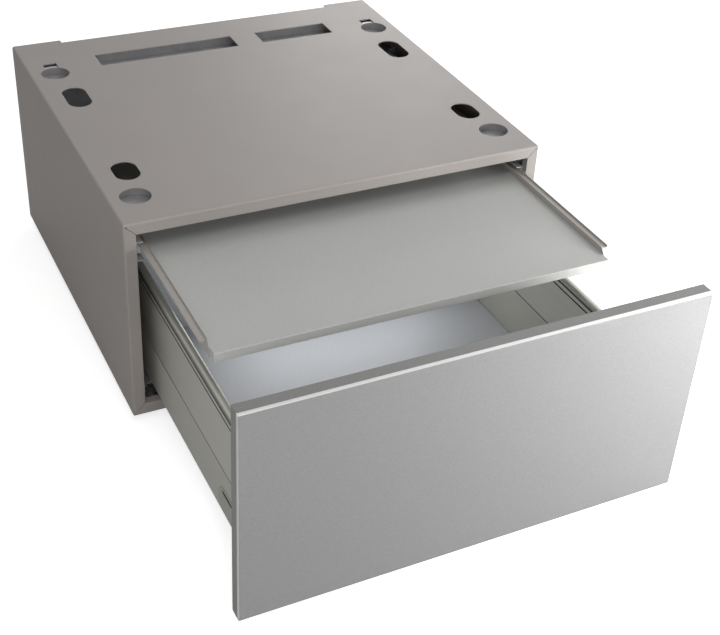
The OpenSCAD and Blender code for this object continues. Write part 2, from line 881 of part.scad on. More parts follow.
// Rear wall of the drawer, flanged all round toward the rear
module drawer_back() {
    y0 = box_rear - back_inset;
    y1 = y0 + back_flange;
    color(drawer_grey) difference() {
        span([-side_in, y0 - panel_t, floor_z], [side_in, y1, groove_z]);
        span([-side_in + panel_t, y0, floor_z + panel_t], [side_in - panel_t, y1 + over, groove_z - panel_t]);
        back_screw_holes(screw_r + screw_fit, side_in - panel_t - over, side_in + over);
    }
}

// Lower, double-walled part of one drawer side
module side_profile() {
    color(drawer_grey) difference() {
        union() {
            span([side_x - skin_t, box_y, side_z], [side_x, box_rear, profile_top]);
            span([side_in, box_y, side_z], [side_in + skin_t, box_rear, profile_in_top]);
            span([side_in, box_y, profile_top - skin_t], [side_x, box_rear, profile_top]);
        }
        cap_shape(hollow_out - over, side_x + over, 0);
        back_screw_holes(screw_r + screw_fit, side_in - over, hollow_in + over);
    }
}

module side_profile_left() {
    on_left() side_profile();
}

module side_profile_right() {
    side_profile();
}

// Middle part of one drawer side, a flat hollow panel
module side_panel() {
    top = groove_z - groove_w;
    low = panel_low + score_w;
    color("#8c8c86") difference() {
        union() {
            span([hollow_in, box_y, panel_low], [side_x - groove, box_rear, groove_z]);
            span([hollow_in, box_y, low], [side_x, box_rear, top]);
            span([side_in, box_y, profile_in_top + score_w], [side_x, box_rear, top]);
        }
        span([hollow_in + rail_wall, box_y - over, panel_low + rail_wall],
            [side_x - rail_wall, box_rear + over, groove_z - rail_wall]);
        back_screw_holes(screw_r + screw_fit, side_in - over, hollow_in + rail_wall + over);
    }
}

module side_panel_left() {
    on_left() side_panel();
}

module side_panel_right() {
    side_panel();
}

// Top rail of one drawer side: a flat band between two grooves and a round top
module top_rail() {
    x = side_x - rail_r;
    color("#a2a29b") translate([0, box_rear, 0]) rotate([90, 0, 0]) linear_extrude(drawer_l) difference() {
        union() {
            translate([side_in, groove_z]) square([side_t, rail_band + rail_foot]);
            translate([x, band_z + rail_foot]) circle(r = rail_r);
        }
        for (gx = [side_in - over, side_x - groove])
            translate([gx, band_z - groove_w]) square([groove + over, groove_w]);
        translate([side_in + rail_wall + groove, groove_z + rail_wall])
            square([side_t - 2 * (rail_wall + groove), rail_band + rail_foot - rail_wall]);
        translate([x, band_z + rail_foot]) circle(r = rail_r - rail_wall - groove);
    }
}

module top_rail_left() {
    on_left() top_rail();
}

module top_rail_right() {
    top_rail();
}

// Oval outline of a side cap, between two places across
module cap_shape(x0, x1, inset) {
    r = cap_h / 2 - inset;
    y = box_y + cap_y;
    z = side_z + cap_z;
    dy = (cap_l - cap_h) / 2;
    span([x0, y - dy, z - r], [x1, y + dy, z + r]);
    for (s = [-1, 1]) rod_x(x0, x1, y + s * dy, z, r);
}

// Oval cap over the screw that sets the front, with a slot at its upper edge
module side_cap() {
    y = box_y + cap_y;
    z = side_z + cap_z + cap_h / 2 - cap_slot_h;
    color("#84847e") difference() {
        union() {
            cap_shape(hollow_out, side_x, slip);
            cap_shape(side_x, side_x + cap_t, -cap_t);
        }
        span([side_x - skin_t / 2, y - cap_slot_l / 2, z - cap_slot_h],
            [side_x + cap_t + over, y + cap_slot_l / 2, z]);
    }
}

module side_cap_left() {
    on_left() side_cap();
}

module side_cap_right() {
    side_cap();
}

// Angle in the drawer side's hollow, above the slide, which holds the front
module front_bracket() {
    z0 = slide_z + slide_h + edge_gap;
    z1 = profile_top - skin_t - edge_gap;
    color("silver") difference() {
        union() {
            span([hollow_in, box_y, z0], [hollow_out, box_y + bracket_t, z1]);
            span([hollow_in, box_y, z0], [hollow_in + bracket_t, box_y + bracket_reach, z1]);
        }
        front_screw_holes(screw_r + screw_fit);
    }
}

module front_bracket_left() {
    on_left() front_bracket();
}

module front_bracket_right() {
    front_bracket();
}

// Screws of the front and of the drawer's back
module drawer_screws() {
    y = box_y + bracket_t;
    x = side_in - panel_t;
    back_y0 = box_rear - back_inset + back_flange / 2;
    color("silver") {
        for (s = [-1, 1], z = front_screw_z) {
            rod_y(s * stiffener_x, z, y - screw_l, y, screw_r);
            rod_y(s * stiffener_x, z, y, y + screw_head_h, screw_head_r - over / 2);
        }
        for (s = [-1, 1], z = drawer_back_z) scale_x(s) {
            rod_x(x, x + screw_l, back_y0, z, screw_r);
            rod_x(x - screw_head_h, x, back_y0, z, screw_head_r);
        }
    }
}

// Folded steel tray that makes the shelf
module shelf_board() {
    t = shelf_sheet;
    lip = runner_foot;
    color("#a6a8a4") difference() {
        union() {
            span([-shelf_x, shelf_y + t, shelf_low], [shelf_x, shelf_rear, shelf_top]);
            span([-shelf_x, shelf_y, shelf_low], [shelf_x, shelf_y + 2 * t, shelf_top - t]);
            rod_x(-shelf_x, shelf_x, shelf_y + t, shelf_top - t, t);
        }
        span([-shelf_x + t, shelf_y + t, shelf_low + t], [shelf_x - t, shelf_rear - t, shelf_top - t]);
        span([-shelf_x + lip, shelf_y + lip, shelf_low - over], [shelf_x - lip, shelf_rear - lip, shelf_low + t + over]);
        shelf_screw_holes(screw_r + screw_fit);
    }
}

module shelf_screw_holes(r) {
    for (s = [-1, 1], y = shelf_screw_y) translate([s * shelf_screw_x, y, runner_low - over])
        cylinder(r = r, h = 2 * shelf_sheet + 2 * over);
}

// Runner along one side of the shelf, with a pin for its rear roller
module shelf_runner() {
    t = shelf_sheet;
    y_foot = shelf_y + runner_front - runner_slant;
    y_flange = shelf_y + runner_front;
    y_roller = shelf_rear - roller_end;
    flange_end = y_roller - rear_roller_r - edge_gap;
    color("#8d8781") {
        difference() {
            union() {
                span([shelf_x - runner_foot, y_foot, runner_low], [runner_out, shelf_rear, shelf_low]);
                span([shelf_x, y_foot, runner_low], [runner_out, shelf_rear, runner_top]);
                span([shelf_x, y_flange, flange_z], [flange_out, flange_end, flange_z + t]);
                span([flange_out - t, y_flange, flange_z], [flange_out, flange_end, flange_z + t + runner_tip]);
            }
            // Slanted front end of the web
            translate([shelf_x - over, 0, 0]) rotate([90, 0, 90]) linear_extrude(t + 2 * over) polygon([
                [y_foot - over, runner_low + shelf_t],
                [y_foot, runner_low + shelf_t],
                [y_flange, runner_top + over],
                [y_foot - over, runner_top + over]
            ]);
            shelf_screw_holes(screw_r + screw_fit);
        }
        rod_x(shelf_x + t / 2, rear_pin_end, y_roller, rear_roller_z, roller_pin_r);
        rod_x(rear_pin_end - pin_head_t, rear_pin_end, y_roller, rear_roller_z, pin_head_r);
    }
}

module shelf_runner_left() {
    on_left() shelf_runner();
}

module shelf_runner_right() {
    shelf_runner();
}

module shelf_screws() {
    color("silver") for (s = [-1, 1], y = shelf_screw_y) translate([s * shelf_screw_x, y, runner_low]) {
        cylinder(r = screw_r, h = screw_l);
        translate([0, 0, -screw_head_h]) cylinder(r = screw_head_r, h = screw_head_h);
    }
}

// Fixed C-shaped rail of the shelf, with a pin for its front roller
module shelf_rail() {
    t = shelf_sheet;
    y1 = rail_y + rail_l;
    high = rail_high + t;
    color("#b4b6b5") {
        span([rail_in, rail_y, rail_low - t], [rail_out, y1, high]);
        span([rail_out - rail_flange, rail_y, rail_low - t], [rail_out, y1, rail_low]);
        span([rail_out - rail_flange + rail_bead_r, rail_y, rail_high], [rail_out, y1, high]);
        rod_y(rail_out - rail_flange + rail_bead_r, high - t / 2, rail_y, y1, t / 2);
        rod_x(front_pin_end, rail_in + t / 2, roller_y, front_roller_z, roller_pin_r);
        rod_x(front_pin_end, front_pin_end + pin_head_t, roller_y, front_roller_z, pin_head_r);
        for (y = [rail_y + stay_front, y1 - stay_rear]) stay(y, rail_low, rail_high, rail_out, bracket_t);
    }
}

module shelf_rail_left() {
    on_left() shelf_rail();
}

module shelf_rail_right() {
    shelf_rail();
}

// A nylon roller on its pin
module roller(x, y, z, r) {
    color("#e4e4e0") difference() {
        rod_x(x, x + roller_w, y, z, r);
        rod_x(x - over, x + roller_w + over, y, z, roller_pin_r + fit);
    }
}

module cabinet_roller() {
    roller(front_roller_x, roller_y, front_roller_z, front_roller_r);
}

module cabinet_roller_left() {
    on_left() cabinet_roller();
}

module cabinet_roller_right() {
    cabinet_roller();
}

module shelf_roller() {
    roller(rear_roller_x, shelf_rear - roller_end, rear_roller_z, rear_roller_r);
}

module shelf_roller_left() {
    on_left() shelf_roller();
}

module shelf_roller_right() {
    shelf_roller();
}

cabinet_wrapper();
bottom_front_rail();
bottom_side_rail_left();
bottom_side_rail_right();
bottom_rear_rail();
back_panel();
back_panel_screws();
deck_brace_front();
deck_brace_rear();
washer_foot_cups();
foot_plates();
foot_lock_nuts();
slide_bracket_left();
slide_bracket_right();
cabinet_member_left();
cabinet_member_right();
shelf_rail_left();
shelf_rail_right();
levelling_foot_front_left();
levelling_foot_front_right();
levelling_foot_rear_left();
levelling_foot_rear_right();
middle_member_left();
middle_member_right();
outer_cage_left();
outer_cage_right();
inner_cage_left();
inner_cage_right();
front_skin();
front_pan();
front_stiffeners();
front_bumpers();
drawer_floor();
drawer_back();
side_profile_left();
side_profile_right();
side_panel_left();
side_panel_right();
top_rail_left();
top_rail_right();
side_cap_left();
side_cap_right();
front_bracket_left();
front_bracket_right();
drawer_member_left();
drawer_member_right();
drawer_screws();
shelf_board();
shelf_runner_left();
shelf_runner_right();
shelf_screws();
cabinet_roller_left();
cabinet_roller_right();
shelf_roller_left();
shelf_roller_right();
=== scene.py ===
# %% [markdown]
# This file dresses a pedestal for a washing machine: a folded steel cabinet with a deep drawer
# and a pull-out shelf. The frame from the CAD tool comes in first. It already holds every sheet,
# rail and screw in its true place, so the work here is finish: paint, metal, plastic, small
# hardware with threads and recesses, light and camera.

# %% The frame
import json
import math

import bmesh
import bpy
from mathutils import Matrix, Vector

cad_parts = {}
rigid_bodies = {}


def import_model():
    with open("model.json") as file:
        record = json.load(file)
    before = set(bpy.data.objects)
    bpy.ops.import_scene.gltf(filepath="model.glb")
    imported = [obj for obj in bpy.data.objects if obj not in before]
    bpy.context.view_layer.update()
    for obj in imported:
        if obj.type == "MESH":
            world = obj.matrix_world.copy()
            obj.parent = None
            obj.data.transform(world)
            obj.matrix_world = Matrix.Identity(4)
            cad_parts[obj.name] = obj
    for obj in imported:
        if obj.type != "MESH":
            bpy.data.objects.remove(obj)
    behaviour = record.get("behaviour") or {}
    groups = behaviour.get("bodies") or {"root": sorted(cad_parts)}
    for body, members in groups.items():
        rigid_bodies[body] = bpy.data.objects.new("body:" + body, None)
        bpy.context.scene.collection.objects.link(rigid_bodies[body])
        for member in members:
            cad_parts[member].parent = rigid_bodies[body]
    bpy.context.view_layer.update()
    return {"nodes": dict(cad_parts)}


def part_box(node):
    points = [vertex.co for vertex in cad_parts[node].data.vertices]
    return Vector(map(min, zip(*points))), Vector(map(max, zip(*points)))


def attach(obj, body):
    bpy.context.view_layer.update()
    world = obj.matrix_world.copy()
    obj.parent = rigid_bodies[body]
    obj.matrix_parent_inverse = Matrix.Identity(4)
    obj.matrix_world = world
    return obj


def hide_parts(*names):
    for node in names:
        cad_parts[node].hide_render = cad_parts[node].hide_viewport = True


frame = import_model()
nodes = frame["nodes"]

# %% [markdown]
# The camera stands to the left of the pedestal, in front of it and well above it, and looks down
# on the deck, the open shelf and the open drawer. Its place, its turn and its lens were fitted to
# corners that the photograph shows and whose places in the CAD frame are known. A small shift
# takes up the crop of the picture, so that the camera itself stays square to what it sees.

# %% The camera
def placed_in_scene(name, data):
    """A new object that holds the data, linked to the scene."""
    made = bpy.data.objects.new(name, data)
    bpy.context.scene.collection.objects.link(made)
    return made


eye = placed_in_scene("eye", bpy.data.cameras.new("eye"))
eye.location = (-0.6607, -1.6124, 1.1460)
eye.rotation_euler = [math.radians(a) for a in (55.9015, -2.8190, -25.7074)]
eye.data.sensor_width = 36
eye.data.lens = 65.52
eye.data.shift_x = -0.0038
eye.data.shift_y = -0.0358
bpy.context.scene.camera = eye
print("camera", tuple(round(v, 3) for v in eye.location), "lens", eye.data.lens)

# %% [markdown]
# Colours are written as on a paint chip, in six hex digits, but light adds up in linear numbers.
# The first helper turns one into the other, so that a surface renders about as light as its chip.

# %% Colours as they are written
def linear(hex_colour):
    """The colour of a paint chip, from the way it is written to the way light adds up."""
    parts = [int(hex_colour[i:i + 2], 16) / 255 for i in (1, 3, 5)]
    return tuple(p / 12.92 if p <= 0.04045 else ((p + 0.055) / 1.055) ** 2.4 for p in parts) + (1,)


print("mid grey chip in light:", round(linear("#808080")[0], 3))

# %% [markdown]
# A node tree grows by moves that come back all the time: add a node, set its sockets, link it to
# the next. Two kinds of node do most of the arithmetic: Math, and Map Range, which turns a band
# of one value into a band of another. One small class holds these calls. The finishes use it
# first, and the trees of the hardware and of the surround use it further on.

# %% A node tree in short calls
class Graph:
    """A node tree, written as short calls."""

    def __init__(self, tree):
        self.tree = tree

    def node(self, kind, sockets=None, **settings):
        made = self.tree.nodes.new(kind)
        for key, value in settings.items():
            setattr(made, key, value)
        for key, value in (sockets or {}).items():
            self.feed(made.inputs[key], value)
        return made

    def feed(self, socket, value):
        if isinstance(value, bpy.types.NodeSocket):
            self.tree.links.new(value, socket)
        else:
            socket.default_value = value

    def sum(self, way, a, b):
        """Arithmetic of two values, in the way that is named."""
        return self.node("ShaderNodeMath", {0: a, 1: b}, operation=way).outputs[0]

    def range(self, value, low, high, to_low, to_high):
        """Maps a band of the value onto another band, and holds it at both ends."""
        return self.node("ShaderNodeMapRange", {
            "Value": value, "From Min": low, "From Max": high,
            "To Min": to_low, "To Max": to_high}).outputs["Result"]


print("calls of a graph:", [name for name in vars(Graph) if name[0] != "_"])

# %% [markdown]
# A finish is a small tree of shader nodes. Sheet steel that was powder coated isn't one flat
# colour: it has a faint speckle, a skin like orange peel, broad dull and shiny places, and at the
# folded edges the coat is thin and rubbed. All of this is measured in metres on the piece itself,
# through its Object coordinates, so it stays put when the camera or a drawer moves. The class
# below starts such a tree and adds the calls that only finishes need.

# %% A recipe for one finish
class Recipe(Graph):
    """The node tree of one finish."""

    def __init__(self, name):
        self.material = bpy.data.materials.new(name)
        self.material.use_nodes = True
        super().__init__(self.material.node_tree)
        self.shader = self.tree.nodes["Principled BSDF"]
        self.place = self.node("ShaderNodeTexCoord").outputs["Object"]

    def give(self, label, value):
        self.feed(self.shader.inputs[label], value)

    def blend(self, factor, a, b):
        return self.node("ShaderNodeMix", {0: factor, 6: a, 7: b}, data_type="RGBA").outputs[2]

    def over(self, factor, tone):
        """Lays a tone over the colour that the shader already has."""
        bare = self.shader.inputs["Base Color"].links[0].from_socket
        self.give("Base Color", self.blend(factor, bare, linear(tone)))

    def axes(self):
        return self.node("ShaderNodeSeparateXYZ", {0: self.place}).outputs

    def away(self, value, middle):
        """Distance of a value from a middle one, on either side."""
        return self.sum("ABSOLUTE", self.sum("SUBTRACT", value, middle), 0.0)

    def stretched(self, scale):
        sockets = {"Vector": self.place, "Scale": scale}
        return self.node("ShaderNodeMapping", sockets).outputs["Vector"]

    def grain(self, scale, detail=2.0, place=None, roughness=0.5):
        return self.node("ShaderNodeTexNoise", {
            "Vector": place or self.place, "Scale": scale,
            "Detail": detail, "Roughness": roughness}).outputs["Fac"]

    def cells(self, scale):
        """Flat cells, each with a random level."""
        sockets = {"Vector": self.place, "Scale": scale}
        colour = self.node("ShaderNodeTexVoronoi", sockets).outputs["Color"]
        return self.node("ShaderNodeSeparateColor", {0: colour}).outputs[0]


print("calls of a recipe:", [name for name in vars(Recipe) if name[0] != "_"])

# %% [markdown]
# Edges need to be found before they can be rubbed. The Bevel node gives the surface direction as
# if the edge were rounded off by a chosen radius. Where that direction and the true one part, an
# edge is near. The difference makes the mask for the wear, and the rounded direction itself goes
# to the shader, so that even a sharp folded sheet catches a thin line of light as real sheet does.
# Grooves and joints get painted shade: Ambient Occlusion over a few millimetres finds them, and
# their colour is darkened there.

# %% Edges and skin of a surface
def edge_mask(recipe, radius):
    """Where an edge is near, and the surface direction with that edge rounded off."""
    soft = recipe.node("ShaderNodeBevel", {"Radius": radius}, samples=4).outputs["Normal"]
    true = recipe.node("ShaderNodeNewGeometry").outputs["Normal"]
    same = recipe.node("ShaderNodeVectorMath", {0: soft, 1: true}, operation="DOT_PRODUCT")
    return recipe.range(same.outputs["Value"], 0.999, 0.86, 0.0, 1.0), soft


def painted_crevice_shade(recipe, colour, reach=0.003, most=0.5, shade_tone="#2B2926"):
    """The same colour with painted shade in grooves and joints narrower than that reach."""
    around = recipe.node("ShaderNodeAmbientOcclusion", {"Distance": reach}, samples=6)
    shade_amount = recipe.range(around.outputs["AO"], 0.20, 0.85, most, 0.0)
    return recipe.blend(shade_amount, colour, linear(shade_tone))


def skin(recipe, height, depth, normal):
    """A fine relief of that depth in metres on the surface."""
    sockets = {"Height": height, "Distance": depth, "Strength": 1.0, "Normal": normal}
    recipe.give("Normal", recipe.node("ShaderNodeBump", sockets).outputs["Normal"])


print("edges, crevices and skin ready")

# %% [markdown]
# Powder coat is the finish of the cabinet, the drawer, the shelf and their rails. One recipe
# serves all of them, with its own colour, sheen and speckle each time. Three scales are mixed:
# clouds of a hand's width, the grains of the powder at about a millimetre, and the orange peel
# between them, which goes into the relief only. The wear brings up a paler tone at the edges.
# Grooves and joints get painted shade. The shelf's front face gets painted light: it is made
# paler, as light from the front would make it.

# %% Powder coat
finishes = {}


def shaded(colour, factor):
    """The same colour, darker or lighter by that factor."""
    return tuple(min(1, c * factor) for c in colour[:3]) + (1,)


# The last argument sets how dark the painted shade in grooves and joints is.
def powder_coat(slot, colour, roughness, speckle=0.10, wear="#C9C6C2", dust_and_shade=0.5):
    recipe = Recipe(slot)
    clouds = recipe.grain(7, 3)
    grains = recipe.grain(900, 1, roughness=0.3)
    peel = recipe.grain(420, 1)
    base = linear(colour)
    grain_tone = recipe.range(grains, 0.30, 0.70, 0.0, 1.0)
    toned = recipe.blend(grain_tone, shaded(base, 1 - speckle), shaded(base, 1 + speckle))
    clouded = recipe.blend(recipe.range(clouds, 0.35, 0.70, 0.0, 0.05), toned, linear("#5D5A57"))
    edges, soft = edge_mask(recipe, 0.0007)
    patches = recipe.range(recipe.grain(60, 4), 0.42, 0.62, 0.105, 0.35)
    worn = recipe.blend(recipe.sum("MULTIPLY", edges, patches), clouded, linear(wear))
    # Painted shade: grooves and joints are darkened by Ambient Occlusion.
    recipe.give("Base Color", painted_crevice_shade(recipe, worn, most=dust_and_shade))
    dull = recipe.range(recipe.grain(24, 4), 0.3, 0.7, roughness - 0.015, roughness + 0.02)
    recipe.give("Roughness", dull)
    recipe.give("IOR", 1.47)
    relief = recipe.sum("ADD", peel, recipe.sum("MULTIPLY", grains, 0.35))
    skin(recipe, relief, 0.00006, soft)
    finishes[slot] = recipe.material
    return recipe


def painted_front_light(recipe, node):
    """Painted light: the front face of a shelf is made paler, as light from the front would make
    it.
    """
    depth = recipe.sum("SUBTRACT", recipe.axes()["Y"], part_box(node)[0].y)
    recipe.over(recipe.range(depth, 0.0003, 0.0012, 0.45, 0.0), "#E2E2DE")


powder_coat("cabinet_paint", "#9B9591", 0.48, speckle=0.09)
powder_coat("drawer_paint", "#B2B1A9", 0.46)
powder_coat("floor_paint", "#C6C9CE", 0.45, speckle=0.05)
shelf_coat = powder_coat("shelf_paint", "#B9BAB7", 0.55, speckle=0.05, dust_and_shade=0.2)
# Painted light: the shelf's front face is made paler.
painted_front_light(shelf_coat, "shelf_board")
powder_coat("runner_paint", "#ADA8A3", 0.48, dust_and_shade=0.2)
powder_coat("rail_paint", "#B4B7BA", 0.42, speckle=0.05)
powder_coat("front_edge", "#7A7A78", 0.45, wear="#B9B9B7")
print("powder coats:", sorted(finishes))

# %% [markdown]
# The drawer front is coated in a satin silver, which holds flakes of aluminium. Flakes turn the
# coat part metallic and give it a fine sparkle: tiny cells, each a little lighter or darker than
# the next. A Voronoi texture makes such cells. Its rubbed edges are paler, which is wear and a
# painted highlight both, and round its outline a fine bright rim is painted on as a highlight.

# %% Silver coat
def rim_highlight_mask(recipe, node, width):
    """Where the painted highlight goes: a line of that width round the outline of an upright
    plate.
    """
    lo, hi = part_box(node)
    axes = recipe.axes()
    near = recipe.sum("SUBTRACT", hi.x, recipe.sum("ABSOLUTE", axes["X"], 0.0))
    near = recipe.sum("MINIMUM", near, recipe.sum("SUBTRACT", hi.z, axes["Z"]))
    near = recipe.sum("MINIMUM", near, recipe.sum("SUBTRACT", axes["Z"], lo.z))
    return recipe.range(near, width * 0.7, width * 1.3, 1.0, 0.0)


rim_highlight_width = 0.0006


def silver_coat(slot, node, colour, roughness, metallic):
    recipe = Recipe(slot)
    base = linear(colour)
    sparkled = recipe.blend(recipe.cells(1400.0), shaded(base, 0.90), shaded(base, 1.07))
    edges, soft = edge_mask(recipe, 0.0006)
    patches = recipe.range(recipe.grain(50, 4), 0.4, 0.65, 0.15, 0.40)
    # Paler rubbed edges: wear, and a painted highlight along the edges as well.
    rubbed_and_highlit = recipe.blend(recipe.sum("MULTIPLY", edges, patches), sparkled, linear("#DCDCDC"))
    # Painted highlight: a fine bright rim round the front's outline.
    rim_highlight = recipe.sum("MULTIPLY", rim_highlight_mask(recipe, node, rim_highlight_width), 0.6)
    recipe.give("Base Color", recipe.blend(rim_highlight, rubbed_and_highlit, linear("#EDEDED")))
    dull = recipe.range(recipe.grain(9, 3), 0.3, 0.7, roughness - 0.03, roughness + 0.04)
    recipe.give("Roughness", dull)
    recipe.give("Metallic", metallic)
    skin(recipe, recipe.grain(700, 2), 0.00003, soft)
    finishes[slot] = recipe.material


silver_coat("front_silver", "front_skin", "#949494", 0.36, 0.42)
print("silver rim:", rim_highlight_width * 1000, "mm wide")

# %% [markdown]
# The long strip of aluminium on each drawer side has seams: two grooves under the bead, and one
# joint to the profile below, which lies higher outside than inside. Each gets a dark line of
# painted shade of its own, at its known height. The round bead above them gets painted shade as
# well: its colour darkens from the crown towards its flanks.

# %% Seams of the drawer's sides
feather = 0.0002


def painted_groove_lines(recipe, colour, lines, middle_x, shade_tone="#2A2723"):
    """Dark lines of painted shade at given heights, where a long groove lies, on one face or on
    both.
    """
    axes = recipe.axes()
    out = recipe.sum("GREATER_THAN", recipe.sum("ABSOLUTE", axes["X"], 0.0), middle_x)
    faces = {"outer": out, "inner": recipe.sum("SUBTRACT", 1.0, out), "both": 1.0}
    for height, face, half in lines:
        away = recipe.away(axes["Z"], height)
        dark = recipe.range(away, half - feather, half + feather, 0.9, 0.0)
        colour = recipe.blend(recipe.sum("MULTIPLY", dark, faces[face]), colour, linear(shade_tone))
    return colour


def painted_bead_shade(recipe, colour, middle, radius, tone="#3A3732"):
    """Painted shade on a round bead: darker from its crown to its flanks, above that height."""
    above = recipe.sum("SUBTRACT", recipe.axes()["Z"], middle)
    flank_shade = recipe.range(above, radius * 0.35, radius * 0.85, 0.72, 0.0)
    on_bead = recipe.sum("GREATER_THAN", above, 0.0)
    return recipe.blend(recipe.sum("MULTIPLY", flank_shade, on_bead), colour, linear(tone))


def side_seam_shade(recipe, colour):
    """Painted shade at the grooves and joints of the drawer's sides, and on the bead at their top.
    """
    low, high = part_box("side_panel_right")
    inner_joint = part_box("side_profile_right")[1].z
    bead_r = 0.006
    lines = [(high.z - 0.00075, "both", 0.0014), (high.z + 0.00725, "both", 0.0014),
             (low.z + 0.00055, "outer", 0.0016), (inner_joint + 0.00055, "inner", 0.0013)]
    # Painted shade: dark lines at the heights of the grooves and the joint.
    colour = painted_groove_lines(recipe, colour, lines, (low.x + high.x) / 2)
    # Painted shade on the flanks of the bead.
    return painted_bead_shade(recipe, colour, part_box("top_rail_right")[1].z - bead_r, bead_r)


print("lines in paint fade over", feather * 2000, "mm")

# %% [markdown]
# That strip was drawn through a die, so its grain runs lengthwise in long hair lines: a noise that
# is stretched along the drawer's depth. The members of the ball slides were rolled from strip
# steel and take the same recipe, with a coarser grain and more metal in it.

# %% Drawn aluminium and rolled steel
def drawn_metal(slot, colour, roughness, along, metallic=0.85, lines=0.12, seam_shade=None):
    """Metal with hair lines. Any painted seam shade goes under the painted crevice shade."""
    recipe = Recipe(slot)
    hair = recipe.grain(1.0, 3, place=recipe.stretched(along), roughness=0.6)
    base = linear(colour)
    edges, soft = edge_mask(recipe, 0.0006)
    tone = recipe.range(hair, 0.3, 0.7, 0.0, 1.0)
    lined = recipe.blend(tone, shaded(base, 1 - lines), shaded(base, 1 + lines))
    bright = recipe.blend(recipe.sum("MULTIPLY", edges, 0.3), lined, linear("#E2E2E0"))
    if seam_shade:
        bright = seam_shade(recipe, bright)
    # Painted shade: grooves and joints are darkened by Ambient Occlusion.
    recipe.give("Base Color", painted_crevice_shade(recipe, bright))
    recipe.give("Roughness", recipe.range(hair, 0.3, 0.7, roughness - 0.06, roughness + 0.08))
    recipe.give("Metallic", metallic)
    skin(recipe, hair, 0.00004, soft)
    finishes[slot] = recipe.material


drawn_metal("side_aluminium", "#BBBAB2", 0.38, (1500, 6, 1500), 0.35, 0.06, side_seam_shade)
drawn_metal("slide_steel", "#B5B8BA", 0.30, (900, 8, 900))
print("drawn and rolled metals ready")

# %% [markdown]
# Steel inside the cabinet is bare galvanised sheet: zinc freezes on it in flat crystals that turn
# the light in different ways, which is called spangle. Screws, nuts and plates are zinc plated
# and passivated, so they are brighter, with a blue and a yellow cast that comes and goes. Voronoi
# cells with a slow noise on top give both, at different sizes.

# %% Zinc
def zinc_coat(slot, colour, tint, cell, roughness, metallic):
    recipe = Recipe(slot)
    crystal = recipe.cells(cell)
    base = linear(colour)
    spangled = recipe.blend(crystal, shaded(base, 0.86), base)
    stain = recipe.range(recipe.grain(35, 3), 0.4, 0.65, 0.0, 0.30)
    cast = recipe.blend(stain, spangled, linear(tint))
    edges, soft = edge_mask(recipe, 0.0005)
    bright = recipe.blend(recipe.sum("MULTIPLY", edges, 0.3), cast, linear("#DDDDDB"))
    # Painted shade: grooves and joints are darkened by Ambient Occlusion.
    recipe.give("Base Color", painted_crevice_shade(recipe, bright, 0.002, 0.7))
    dull = recipe.range(crystal, 0.0, 1.0, roughness - 0.06, roughness + 0.08)
    recipe.give("Roughness", dull)
    recipe.give("Metallic", metallic)
    skin(recipe, recipe.grain(260, 3), 0.00003, soft)
    finishes[slot] = recipe.material


zinc_coat("inner_steel", "#A6A5A6", "#92919A", 160, 0.42, 0.35)
zinc_coat("zinc", "#C2C4C6", "#BDB79F", 420, 0.30, 0.85)
print("zinc coats ready")

# %% [markdown]
# Three moulded materials are left: the plastic of the caps on the drawer sides, with a fine
# spark-eroded grain, the nylon of the rollers, milky and a little waxy, and the black rubber of
# bumpers and foot pads, dull and dusty. Nylon scatters light below its skin, so it gets a little
# subsurface light. All three have rounded edges and no metal in them. A cap has a long slot near
# its top, for the blade that lifts it off, which is shaded dark inside.

# %% Plastic, nylon and rubber
def moulded(slot, colour, dust_and_shade, roughness, relief, cell, subsurface=0.0):
    recipe = Recipe(slot)
    clouds = recipe.grain(80, 4)
    pits = recipe.grain(cell, 2)
    edges, soft = edge_mask(recipe, 0.0005)
    patches = recipe.range(clouds, 0.42, 0.72, 0.0, 0.35)
    dusted = recipe.blend(patches, linear(colour), linear(dust_and_shade))
    worn = recipe.blend(recipe.sum("MULTIPLY", edges, 0.4), dusted, linear(dust_and_shade))
    recipe.give("Base Color", worn)
    dull = recipe.range(pits, 0.3, 0.7, roughness - 0.08, roughness + 0.08)
    recipe.give("Roughness", dull)
    recipe.give("Subsurface Weight", subsurface)
    recipe.give("Subsurface Scale", 0.002)
    skin(recipe, pits, relief, soft)
    finishes[slot] = recipe.material
    return recipe


def slot_shade(recipe, node, below_top, half_high, half_long):
    """A long slot near the top of that node, dark inside."""
    lo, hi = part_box(node)
    axes = recipe.axes()
    spans = {"Z": (hi.z - below_top, half_high), "Y": ((lo.y + hi.y) / 2, half_long)}
    masks = []
    for axis, (middle, half) in spans.items():
        away = recipe.away(axes[axis], middle)
        masks.append(recipe.range(away, half - feather, half + feather, 0.94, 0.0))
    recipe.over(recipe.sum("MINIMUM", *masks), "#1C1B19")


cap_plastic = moulded("cap_plastic", "#A3A29A", "#ABAAA2", 0.50, 0.00005, 1800)
slot_shade(cap_plastic, "side_cap_left", 0.0055, 0.0023, 0.0185)
moulded("nylon", "#D9D8D2", "#BDBBB2", 0.38, 0.00003, 900, subsurface=0.15)
moulded("rubber", "#2B2B2A", "#5A5955", 0.75, 0.00012, 700)
print("moulded finishes ready")

# %% [markdown]
# Each CAD node came in with a plain material that has its slot's name. Putting the finish in the
# same place on the object leaves the mesh alone, which is the rule for nodes that stay. The
# drawer's rear wall came out of the same paint shop as its floor, so it takes the floor's coat.

# %% Finishes on the CAD nodes
dressed = 0
for name, node in nodes.items():
    for place in node.material_slots:
        slot = place.material.name.split(".")[0]
        place.material = finishes["floor_paint" if name == "drawer_back" else slot]
        dressed += 1
print("slots dressed:", dressed)

# %% [markdown]
# Small hardware comes next. A turned part, such as a screw head, a roller or a foot, is a profile
# of radius and height that is spun round an axis. The helper below spins such a profile in bmesh,
# ring by ring, and closes its ends in the axis. Making the object then turns every face outward.

